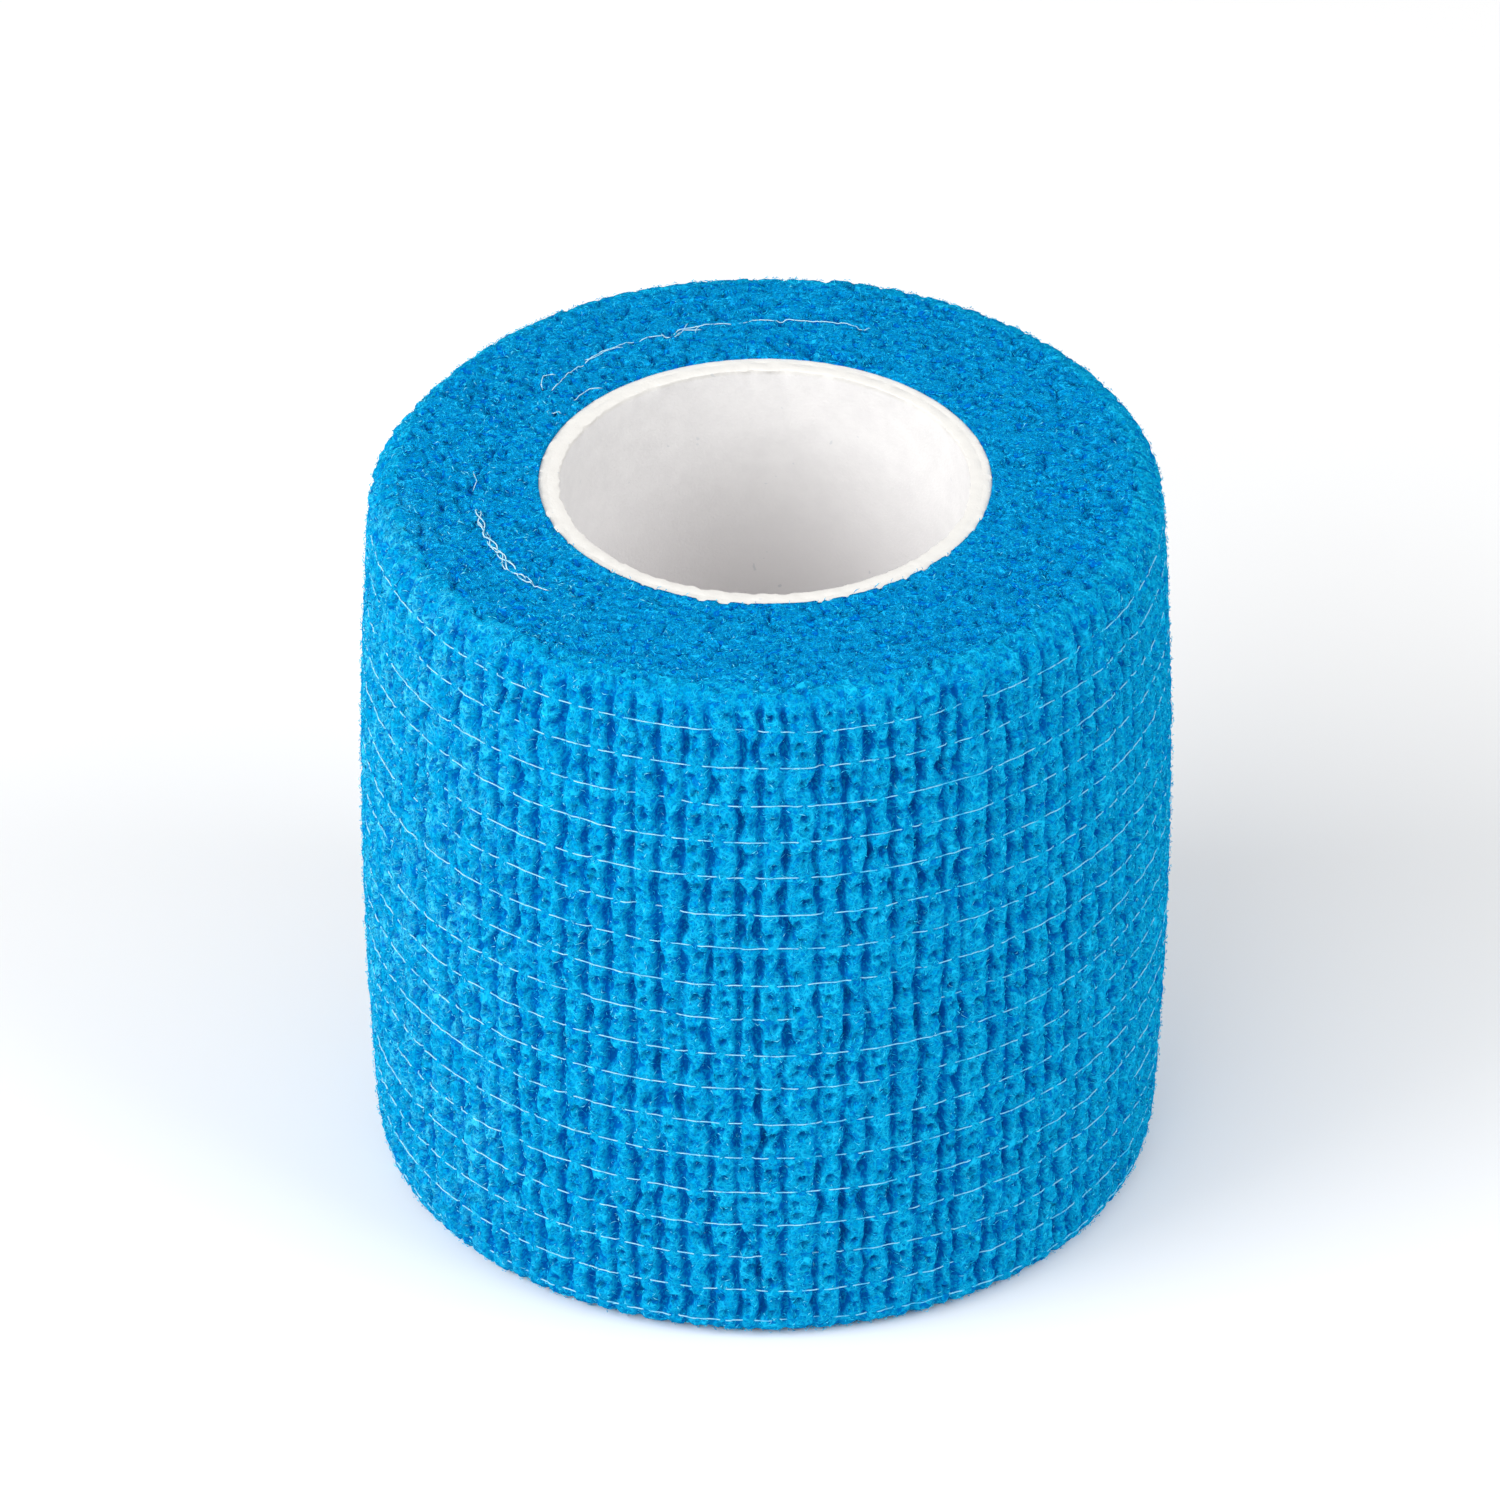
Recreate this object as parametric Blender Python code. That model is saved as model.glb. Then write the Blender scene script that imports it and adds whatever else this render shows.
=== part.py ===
"""Cohesive bandage roll: crinkled elastic bandage wound on a paperboard core.

The roll stands on its end. The origin is at the middle of its foot, with +Z up along
the core's axis. Everything is in metres. The crepe's ribs run from end to end of the
roll, and the bandage's cut outer end lies on the far side, at +Y.
"""

import math

import bmesh
import bpy

# Core: a spiral-wound paperboard tube, cut to the bandage's width.
CORE_INNER_RADIUS = 0.0135
CORE_WALL = 0.0011
CORE_LENGTH = 0.0500
CORE_STANDS_PROUD = 0.00025
CORE_SEGMENTS = 96
CORE_CUT_EDGE_ROUND = 0.0001

# Bandage: the wound roll, a little fuller at mid-height than at its two ends.
BANDAGE_WIDTH = 0.0500
WINDING_CLEARANCE = 0.0003
END_RADIUS = 0.0255
BARREL_SWELL = 0.0009
EDGE_ROUND = 0.0018
EDGE_ROUND_DEGREES = (0, 30, 60)
LAYER_THICKNESS = 0.00075

# Crepe: the ribs that the shrunken elastic threads gather the cloth into.
RIB_COUNT = 97
RIB_RELIEF = 0.00045
RIB_MEAN_FULLNESS = 0.78
RIB_SWAY = 0.00035
EDGE_RELIEF_SHARE = 0.5
POINTS_PER_RIB = 3
RIB_ROWS = 8

# Unevenness: waves round the roll, each (cycles, share, how fast its phase drifts).
WANDER_WAVES = ((3, 0.40, 1.0), (7, 0.25, 2.1), (16, 0.20, 0.7), (37, 0.15, 1.7))
FULLNESS_DRIFT = 3.0
SWAY_DRIFT = 4.0

# Tail: where the outermost layer ends, straight across, and sticks to the one below.
TAIL_AZIMUTH = math.radians(80)
TAIL_EDGE_RUN = 0.0002

CORE_OUTER_RADIUS = CORE_INNER_RADIUS + CORE_WALL
WINDING_RADIUS = CORE_OUTER_RADIUS + WINDING_CLEARANCE
COLUMNS = RIB_COUNT * POINTS_PER_RIB

PAPER_WHITE = (0.83, 0.82, 0.79, 1.0)
PAPER_ROUGHNESS = 0.85
BANDAGE_BLUE = (0.0, 0.30, 0.68, 1.0)
BANDAGE_ROUGHNESS = 0.9
SHARP_EDGE_ANGLE = math.radians(50)


def clear_scene():
    for obj in list(bpy.data.objects):
        bpy.data.objects.remove(obj, do_unlink=True)


def make_material(name, colour, roughness):
    material = bpy.data.materials.new(name)
    material.use_nodes = True
    shader = material.node_tree.nodes["Principled BSDF"]
    shader.inputs["Base Color"].default_value = colour
    shader.inputs["Roughness"].default_value = roughness
    shader.inputs["Metallic"].default_value = 0.0
    return material


def add_object(name, bm, material):
    """Turns a finished bmesh into a named object, with its faces pointing out."""
    bmesh.ops.recalc_face_normals(bm, faces=bm.faces)
    mesh = bpy.data.meshes.new(name)
    bm.to_mesh(mesh)
    bm.free()
    mesh.materials.append(material)
    mesh.shade_smooth()
    mesh.set_sharp_from_angle(angle=SHARP_EDGE_ANGLE)
    obj = bpy.data.objects.new(name, mesh)
    bpy.context.scene.collection.objects.link(obj)
    return obj


def polar(radius, azimuth, height):
    return (radius * math.cos(azimuth), radius * math.sin(azimuth), height)


def bridge_rings(bm, rings):
    """Joins each ring of points to the next, and the last to the first."""
    for lower, upper in zip(rings, rings[1:] + rings[:1]):
        count = len(lower)
        for i in range(count):
            j = (i + 1) % count
            bm.faces.new((lower[i], lower[j], upper[j], upper[i]))


def unevenness(azimuth, phase):
    """A repeatable wander from -1 to 1 that closes on itself round the roll."""
    return sum(
        share * math.sin(cycles * azimuth + drift * phase)
        for cycles, share, drift in WANDER_WAVES
    )


def column_azimuths():
    """Evenly spread azimuths from the tail round to the tail, its edge being a short run."""
    edge = TAIL_EDGE_RUN / END_RADIUS
    span = 2 * math.pi - edge
    return [TAIL_AZIMUTH + edge + span * i / (COLUMNS - 1) for i in range(COLUMNS)]


def winding_growth(column):
    """The spiral: the outer layer climbs by one thickness on its way round to its end."""
    return LAYER_THICKNESS * (column / (COLUMNS - 1) - 0.5)


def rib_height(column, height_share):
    """How far the crepe stands out of its valleys here, up to RIB_RELIEF on a crest."""
    place = column % POINTS_PER_RIB
    if place == 0:
        return 0.0
    azimuth = 2 * math.pi * column / COLUMNS
    wander = unevenness(azimuth, place + FULLNESS_DRIFT * height_share)
    return RIB_RELIEF * (RIB_MEAN_FULLNESS + (1 - RIB_MEAN_FULLNESS) * wander)


def rib_sway(azimuth, height_share):
    """How far a rib leans aside here, as an angle. All ribs shift alike where they meet."""
    return RIB_SWAY / END_RADIUS * unevenness(azimuth, SWAY_DRIFT * height_share)


def side_profile():
    """(height, radius, share of the ribs' relief) from the foot's edge to the top's edge."""
    shoulder = []
    for degrees in EDGE_ROUND_DEGREES:
        turn = math.radians(degrees)
        height = EDGE_ROUND * (1 - math.cos(turn))
        inset = EDGE_ROUND * (1 - math.sin(turn))
        shoulder.append((height, END_RADIUS - inset, EDGE_RELIEF_SHARE * math.sin(turn)))
    straight = []
    for row in range(RIB_ROWS):
        share = row / (RIB_ROWS - 1)
        height = EDGE_ROUND + (BANDAGE_WIDTH - 2 * EDGE_ROUND) * share
        swell = BARREL_SWELL * (1 - (2 * height / BANDAGE_WIDTH - 1) ** 2)
        straight.append((height, END_RADIUS + swell, 1.0))
    top = [(BANDAGE_WIDTH - h, r, relief) for h, r, relief in reversed(shoulder)]
    return shoulder + straight + top


def outer_ring(bm, azimuths, height, radius, relief):
    share = height / BANDAGE_WIDTH
    ring = []
    for column, azimuth in enumerate(azimuths):
        out = radius + winding_growth(column)
        out -= relief * (RIB_RELIEF - rib_height(column, share))
        swayed = azimuth
        if 0 < column < COLUMNS - 1:
            swayed += rib_sway(azimuth, share)
        ring.append(bm.verts.new(polar(out, swayed, height)))
    return ring


def face_ring(bm, azimuths, radius, height):
    return [bm.verts.new(polar(radius, azimuth, height)) for azimuth in azimuths]


def build_core(material):
    """The paperboard tube, with the slight round that the cut leaves on its edges."""
    low = CORE_STANDS_PROUD
    high = low + CORE_LENGTH
    cut = CORE_CUT_EDGE_ROUND
    profile = (
        (CORE_INNER_RADIUS, low + cut),
        (CORE_INNER_RADIUS + cut, low),
        (CORE_OUTER_RADIUS - cut, low),
        (CORE_OUTER_RADIUS, low + cut),
        (CORE_OUTER_RADIUS, high - cut),
        (CORE_OUTER_RADIUS - cut, high),
        (CORE_INNER_RADIUS + cut, high),
        (CORE_INNER_RADIUS, high - cut),
    )
    azimuths = [2 * math.pi * i / CORE_SEGMENTS for i in range(CORE_SEGMENTS)]
    bm = bmesh.new()
    rings = [face_ring(bm, azimuths, radius, height) for radius, height in profile]
    bridge_rings(bm, rings)
    return add_object("core_tube", bm, material)


def build_bandage(material):
    """The wound bandage as one solid: ribbed side, tail edge, two end faces and the bore."""
    azimuths = column_azimuths()
    bm = bmesh.new()
    rings = [face_ring(bm, azimuths, WINDING_RADIUS, 0.0)]
    rings += [outer_ring(bm, azimuths, *row) for row in side_profile()]
    rings += [face_ring(bm, azimuths, WINDING_RADIUS, BANDAGE_WIDTH)]
    bridge_rings(bm, rings)
    return add_object("bandage_roll", bm, material)


def main():
    clear_scene()
    build_core(make_material("paperboard", PAPER_WHITE, PAPER_ROUGHNESS))
    build_bandage(make_material("crepe_bandage", BANDAGE_BLUE, BANDAGE_ROUGHNESS))


main()
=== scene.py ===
"""Looks of the cohesive bandage roll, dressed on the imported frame.

The crepe's side and end faces are fine meshes, whose relief comes from tables of valleys
and pits. The elastic threads and the loose fibres are thin tubes, and the paperboard core
has its cut rim. Everything is in metres, and each random draw is seeded.
"""

import math

import bpy
import numpy as np
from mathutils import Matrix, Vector


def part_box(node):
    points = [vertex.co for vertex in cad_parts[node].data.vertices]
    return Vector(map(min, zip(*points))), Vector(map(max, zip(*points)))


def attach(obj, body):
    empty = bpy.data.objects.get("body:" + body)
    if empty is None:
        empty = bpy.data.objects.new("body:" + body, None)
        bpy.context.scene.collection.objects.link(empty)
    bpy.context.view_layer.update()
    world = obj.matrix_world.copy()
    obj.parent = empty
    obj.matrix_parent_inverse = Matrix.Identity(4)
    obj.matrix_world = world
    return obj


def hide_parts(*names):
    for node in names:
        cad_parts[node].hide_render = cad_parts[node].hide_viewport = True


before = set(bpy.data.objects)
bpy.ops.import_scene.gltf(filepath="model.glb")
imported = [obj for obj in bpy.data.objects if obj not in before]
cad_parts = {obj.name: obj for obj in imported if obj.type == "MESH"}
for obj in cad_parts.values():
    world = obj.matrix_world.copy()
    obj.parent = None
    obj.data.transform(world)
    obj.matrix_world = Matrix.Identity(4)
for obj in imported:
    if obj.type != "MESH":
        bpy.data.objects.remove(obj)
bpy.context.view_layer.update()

MM = 0.001
cloth_low, cloth_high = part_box("bandage_roll")
core_low, core_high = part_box("core_tube")

# The wound roll. The solids' boxes give its width and the core's outer radius.
WIDTH = cloth_high[2] - cloth_low[2]
CORE_RADIUS = (core_high[0] - core_low[0]) / 2
END_RADIUS = 25.5 * MM
BARREL_SWELL = 0.9 * MM
EDGE_ROUND = 1.8 * MM
LAYER = 0.75 * MM

# The top edge is rounder, worn soft, on one side of the roll.
EDGE_SLUMP = 0.5 * MM
SLUMP_AZIMUTH = math.radians(155)
SLUMP_REACH = math.radians(22)

# The bandage's cut outer end, which lifts a little over its last ribs.
TAIL_AZIMUTH = math.radians(80)
TAIL_EDGE_RUN = 0.2 * MM
TAIL_LIFT = 0.10 * MM
TAIL_LIFT_RIBS = 1.6

# How the outer layer climbs on its way round: evenly, and late, near its end. The end faces
# show little of it.
SPIRAL_EVEN = 0.15
SPIRAL_LATE = 0.35
SPIRAL_ON_FACES = 0.1

# Crepe: the ribs run from end to end of the roll, and each elastic thread is a row.
RIB_COUNT = 97
THREAD_ROWS = 18
THREAD_PITCH = 2.71 * MM
TOP_THREAD_HEIGHT = WIDTH - 2.5 * MM

# The profile's arc length, from the middle of the side over the edge to the bore.
HALF_SIDE = WIDTH / 2 - EDGE_ROUND
QUARTER = EDGE_ROUND * math.pi / 2
EDGE_MIDDLE = HALF_SIDE + QUARTER / 2
EDGE_END = HALF_SIDE + QUARTER
FACE_RUN = END_RADIUS - EDGE_ROUND - CORE_RADIUS
HALF_PROFILE = EDGE_END + FACE_RUN

RIB_PITCH = 2 * math.pi * (END_RADIUS + BARREL_SWELL / 2) / RIB_COUNT
TAIL_EDGE_ANGLE = TAIL_EDGE_RUN / END_RADIUS


def smooth(x):
    """0 up to 0 and 1 from 1 on, with a soft slope between."""
    x = np.clip(x, 0.0, 1.0)
    return x * x * (3.0 - 2.0 * x)


def falloff(away, slope):
    """1 near 0, and smoothly down to 0 at 1. A higher slope leaves a wider flat top."""
    return 1 - smooth(away * slope - (slope - 1))


def wander(across, along, columns, rows, seed):
    """Smooth random values from -1 to 1. They close on themselves in the first direction."""
    grid = np.random.default_rng(seed).uniform(-1, 1, (rows + 2, columns))
    x = (across % 1.0) * columns
    y = np.clip(along, 0.0, 1.0) * rows
    i, j = np.floor(x).astype(int), np.floor(y).astype(int)
    u, v = smooth(x - i), smooth(y - j)
    left, right = i % columns, (i + 1) % columns
    low = grid[j, left] * (1 - u) + grid[j, right] * u
    high = grid[j + 1, left] * (1 - u) + grid[j + 1, right] * u
    return low * (1 - v) + high * v


def ripple(along, columns, seed):
    """Smooth random values from -1 to 1 on a line. They close on themselves from 0 to 1."""
    return wander(along, 0 * along, columns, 1, seed)


# Valleys between the ribs: the ranges of their values on the threads and between them.
# Their strays to the side and their half widths are in ribs.
STRAY_ON_THREADS = (-0.10, 0.10)
STRAY_BETWEEN = (-0.20, 0.20)
STRAY_IN_ALL = (-0.17, 0.17)
DEPTH_ON_THREADS = (0.12 * MM, 0.34 * MM)
DEPTH_BETWEEN = (0.55 * MM, 0.92 * MM)
HALF_WIDTH_ON_THREADS = (0.12, 0.22)
HALF_WIDTH_BETWEEN = (0.22, 0.41)
FILLED_CHANCE = 0.20
FILLED_DEPTH_SHARE = 0.35
VALLEY_SLOPE = 1.25
RIB_ROUGHNESS = 0.05
RIB_ROUNDING = 0.20 * MM
RIB_ROUNDING_REACH = 0.66 * MM

# Each valley has a line in the tables, and each half row a column, which is called a knot.
KNOTS = 2 * THREAD_ROWS + 3
STRAY_SEED = 11
STRAY_IN_ALL_SEED = 12
DEPTH_SEED = 13
FILLED_SEED = 14
HALF_WIDTH_SEED = 15


def knot_table(seed, on_threads, between):
    """Random values from one range on the threads' rows, and from the other elsewhere."""
    rng = np.random.default_rng(seed)
    table = rng.uniform(*between, (RIB_COUNT + 1, KNOTS))
    table[:, ::2] = rng.uniform(*on_threads, (RIB_COUNT + 1, KNOTS))[:, ::2]
    return table


def valley_strays():
    """How far each valley strays sideways, in ribs. The cloth's two ends stay straight."""
    strays = knot_table(STRAY_SEED, STRAY_ON_THREADS, STRAY_BETWEEN)
    rng = np.random.default_rng(STRAY_IN_ALL_SEED)
    strays += rng.uniform(*STRAY_IN_ALL, (RIB_COUNT + 1, 1))
    strays[0] = strays[-1] = 0.0
    return strays


def valley_depths():
    """Most valleys are deep slots between the threads. Some are filled with fibres."""
    depths = knot_table(DEPTH_SEED, DEPTH_ON_THREADS, DEPTH_BETWEEN)
    filled = np.random.default_rng(FILLED_SEED).random((RIB_COUNT + 1, KNOTS)) < FILLED_CHANCE
    filled[:, ::2] = False
    depths[filled] *= FILLED_DEPTH_SHARE
    depths[0] = depths[-1] = 0.0
    return depths


VALLEY_STRAY = valley_strays()
VALLEY_DEPTH = valley_depths()
VALLEY_HALF_WIDTH = knot_table(HALF_WIDTH_SEED, HALF_WIDTH_ON_THREADS, HALF_WIDTH_BETWEEN)

# Pits in the ribs: a lower and an upper one in each cell between two valleys and two
# threads, with the ranges of their places in the cell, from 0 to 1, and of their sizes.
PIT_ACROSS = (0.30, 0.70)
PIT_UP = ((0.24, 0.46), (0.54, 0.78))
PIT_RADII = (0.30 * MM, 0.48 * MM)
PIT_DEPTHS = (0.45 * MM, 0.75 * MM)
PIT_CHANCE = 0.88
PIT_SLOPE = 1.3
PIT_SEED = 21


def pit_tables():
    """Each pit's place across and up its cell, its radius and its depth."""
    rng = np.random.default_rng(PIT_SEED)
    cells = (len(PIT_UP), RIB_COUNT, THREAD_ROWS + 2)
    across = rng.uniform(*PIT_ACROSS, cells)
    up = np.stack([rng.uniform(*span, cells[1:]) for span in PIT_UP])
    radius = rng.uniform(*PIT_RADII, cells)
    depth = rng.uniform(*PIT_DEPTHS, cells) * (rng.random(cells) < PIT_CHANCE)
    return across, up, radius, depth


PIT_TABLES = pit_tables()

# Where a thread pulls the cloth in.
THREAD_PINCH = 0.16 * MM
THREAD_PINCH_REACH = 0.38 * MM

# Unevenness of the side, with (cells round the roll, cells up its side, seed).
LUMPS = 0.055 * MM
LUMP_CELLS = (310, 88, 31)
FINE_LUMPS = 0.035 * MM
FINE_LUMP_CELLS = (760, 240, 32)
ROUGHNESS_CELLS = (420, 130, 33)


def at_knots(table, valley, row):
    """The table's value for a valley at a row, smoothly between its knots."""
    place = np.clip(row * 2, 0, KNOTS - 1.001)
    knot = np.floor(place).astype(int)
    share = smooth(place - knot)
    return table[valley, knot] * (1 - share) + table[valley, knot + 1] * share


def thread_row(height):
    """Height as a row number: 1 on the lowest thread and THREAD_ROWS on the highest."""
    return THREAD_ROWS + (height - TOP_THREAD_HEIGHT) / THREAD_PITCH


def pit_relief(rib, row):
    """How deep the pits are here."""
    across, up, radius, depth = PIT_TABLES
    i = np.clip(np.floor(rib).astype(int), 0, RIB_COUNT - 1)
    j = np.clip(np.floor(row).astype(int), 0, THREAD_ROWS + 1)
    total = 0.0
    for n in range(len(PIT_UP)):
        dx = (rib - i - across[n, i, j]) * RIB_PITCH
        dy = (row - j - up[n, i, j]) * THREAD_PITCH
        away = np.hypot(dx, dy) / radius[n, i, j]
        total = np.maximum(total, depth[n, i, j] * falloff(away, PIT_SLOPE))
    return total


def valley_relief(rib, row, roughness):
    """How deep the valleys are here, and how far off the nearest one's middle is, in ribs."""
    slots, nearest = 0.0, np.inf
    for step in (-1, 0, 1):
        valley = np.clip(np.round(rib).astype(int) + step, 0, RIB_COUNT)
        away = np.abs(rib - valley - at_knots(VALLEY_STRAY, valley, row))
        away = np.clip(away + roughness, 0, None)
        half_width = at_knots(VALLEY_HALF_WIDTH, valley, row)
        depth = at_knots(VALLEY_DEPTH, valley, row)
        slots = np.maximum(slots, depth * falloff(away / half_width, VALLEY_SLOPE))
        nearest = np.minimum(nearest, away)
    return slots, nearest


def side_relief(rib, height):
    """How far the crepe's side lies below its highest crests."""
    row = thread_row(height)
    turn, rise = rib / RIB_COUNT, height / WIDTH
    roughness = RIB_ROUGHNESS * wander(turn, rise, *ROUGHNESS_CELLS)
    slots, nearest = valley_relief(rib, row, roughness)
    rounding = RIB_ROUNDING * np.clip(1 - nearest * RIB_PITCH / RIB_ROUNDING_REACH, 0, 1) ** 2
    to_thread = (row - np.clip(np.round(row), 1, THREAD_ROWS)) * THREAD_PITCH
    pinch = THREAD_PINCH * np.exp(-((to_thread / THREAD_PINCH_REACH) ** 2))
    lumps = LUMPS * wander(turn, rise, *LUMP_CELLS)
    lumps += FINE_LUMPS * wander(turn, rise, *FINE_LUMP_CELLS)
    return np.maximum(slots, pit_relief(rib, row)) + rounding + pinch + lumps


# The felt of the end faces: lumps in waves, each with its cells over FACE_SPAN, its height
# and what it adds to the seed of its end face.
FACE_SPAN = 60 * MM
TOP_FACE_SEED = 41
FOOT_FACE_SEED = 51
FACE_LUMPS = (
    (24, 0.04 * MM, 1),
    (150, 0.06 * MM, 2),
    (290, 0.05 * MM, 3),
)

# Pits there, where a straight and a slanted wave together rise over a level.
FACE_PIT_DEPTH = 0.45 * MM
FACE_PIT_WAVE = 0.7
FACE_PIT_LEVEL = 0.28
FACE_PIT_BLEND = 0.30
STRAIGHT_CELLS = 135
SLANTED_CELLS = 150
SLANT_COSINE, SLANT_SINE = 0.8, 0.6

# Faint grooves between the layers, stronger in some places than in others.
FACE_LAYER_GROOVE = 0.06 * MM
FACE_GROOVE_CELLS = 40

# By the core the felt is held flatter and stands a little higher.
COLLAR_RISE = 0.03 * MM
COLLAR_REACH = 0.8 * MM
RELIEF_AT_CORE = 0.4

# Over the rounded edge the crepe turns into felt, late, and is pressed flatter.
FELT_POWER = 2.2
EDGE_PRESSED = 0.38

# The cloth's lowest tufts stay this far over the floor.
FLOOR_CLEARANCE = 0.04 * MM


def face_relief(x, y, radius, growth, seed):
    """How far the felt-like end face lies below its highest tufts."""
    across, along = x / FACE_SPAN + 0.5, y / FACE_SPAN + 0.5
    aslant = (SLANT_COSINE * x + SLANT_SINE * y) / FACE_SPAN + 0.5
    beside = (SLANT_COSINE * y - SLANT_SINE * x) / FACE_SPAN + 0.5

    def wave(cells, step):
        return wander(across, along, cells, cells, seed + step)

    pits = FACE_PIT_WAVE * wave(STRAIGHT_CELLS, 0)
    pits = pits + FACE_PIT_WAVE * wander(aslant, beside, SLANTED_CELLS, SLANTED_CELLS, seed + 5)
    pits = smooth((pits - FACE_PIT_LEVEL) / FACE_PIT_BLEND)
    lumps = sum(height * wave(cells, step) for cells, height, step in FACE_LUMPS)
    groove = 0.5 + 0.5 * np.cos(2 * math.pi * (radius + growth) / LAYER)
    groove = groove * smooth(0.5 + wave(FACE_GROOVE_CELLS, 4))
    held = smooth((radius - CORE_RADIUS) / COLLAR_REACH)
    held = RELIEF_AT_CORE + (1 - RELIEF_AT_CORE) * held
    return (FACE_PIT_DEPTH * pits + lumps + FACE_LAYER_GROOVE * groove) * held


def profile(arc):
    """Radius, height, and outward and upward shares of the normal. Arc 0 is mid-height."""
    away, side = np.abs(arc), np.sign(arc)
    turn = np.clip((away - HALF_SIDE) / EDGE_ROUND, 0, math.pi / 2)
    inward = np.clip(away - HALF_SIDE - QUARTER, 0, None)
    rise = np.minimum(away, HALF_SIDE) + EDGE_ROUND * np.sin(turn)
    swell = BARREL_SWELL * (1 - (2 * rise / WIDTH) ** 2)
    radius = END_RADIUS + swell - EDGE_ROUND * (1 - np.cos(turn)) - inward
    return radius, WIDTH / 2 + side * rise, np.cos(turn), side * np.sin(turn)


def spiral_growth(rib, radius, out):
    """The outer layer climbs by one thickness on its way round, most of it near its end."""
    share = np.clip((radius - CORE_RADIUS) / (FACE_RUN + EDGE_ROUND), 0, 1)
    way = 2 * rib / RIB_COUNT - 1
    shown = SPIRAL_ON_FACES + (1 - SPIRAL_ON_FACES) * out**2
    return LAYER * (SPIRAL_EVEN * way + SPIRAL_LATE * way**5) * share * shown


def azimuth_of(rib):
    """Ribs are counted once round, from the foot of the tail's step to its top."""
    return TAIL_AZIMUTH + TAIL_EDGE_ANGLE + rib / RIB_COUNT * (2 * math.pi - TAIL_EDGE_ANGLE)


def rib_at(azimuth):
    turned = (azimuth - TAIL_AZIMUTH - TAIL_EDGE_ANGLE) % (2 * math.pi)
    return turned / (2 * math.pi - TAIL_EDGE_ANGLE) * RIB_COUNT


def relief(rib, arc):
    """How far the cloth lies below its crests, anywhere on its side and its end faces."""
    radius, height, out, up = profile(arc)
    growth = spiral_growth(rib, radius, out)
    azimuth = azimuth_of(rib)
    x, y = radius * np.cos(azimuth), radius * np.sin(azimuth)
    felt = np.where(
        arc > 0,
        face_relief(x, y, radius, growth, TOP_FACE_SEED),
        face_relief(x, y, radius, growth, FOOT_FACE_SEED),
    )
    share = np.abs(up) ** FELT_POWER
    pressed = 1 - EDGE_PRESSED * np.sin(2 * np.arcsin(np.clip(np.abs(up), 0, 1)))
    return (side_relief(rib, height) * (1 - share) + felt * share) * pressed


def place(rib, arc, depth):
    """The point at this depth below the crests, and the way out of the cloth there."""
    radius, height, out, up = profile(arc)
    azimuth = azimuth_of(rib)
    slump = EDGE_SLUMP * np.exp(-(((azimuth - SLUMP_AZIMUTH) / SLUMP_REACH) ** 2))
    depth = depth + slump * 2 * out * np.clip(up, 0, 1)
    lift = TAIL_LIFT * smooth((rib - RIB_COUNT + TAIL_LIFT_RIBS) / TAIL_LIFT_RIBS) * out
    collar = COLLAR_RISE * smooth(1 - (radius - CORE_RADIUS) / COLLAR_REACH) * (arc > 0)
    away = radius + spiral_growth(rib, radius, out) + lift - depth * out
    level = np.maximum(height - depth * up + collar, FLOOR_CLEARANCE)
    point = (away * np.cos(azimuth), away * np.sin(azimuth), level)
    outward = (out * np.cos(azimuth), out * np.sin(azimuth), up + 0 * azimuth)
    return np.stack(point, axis=-1), np.stack(outward, axis=-1)


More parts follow.
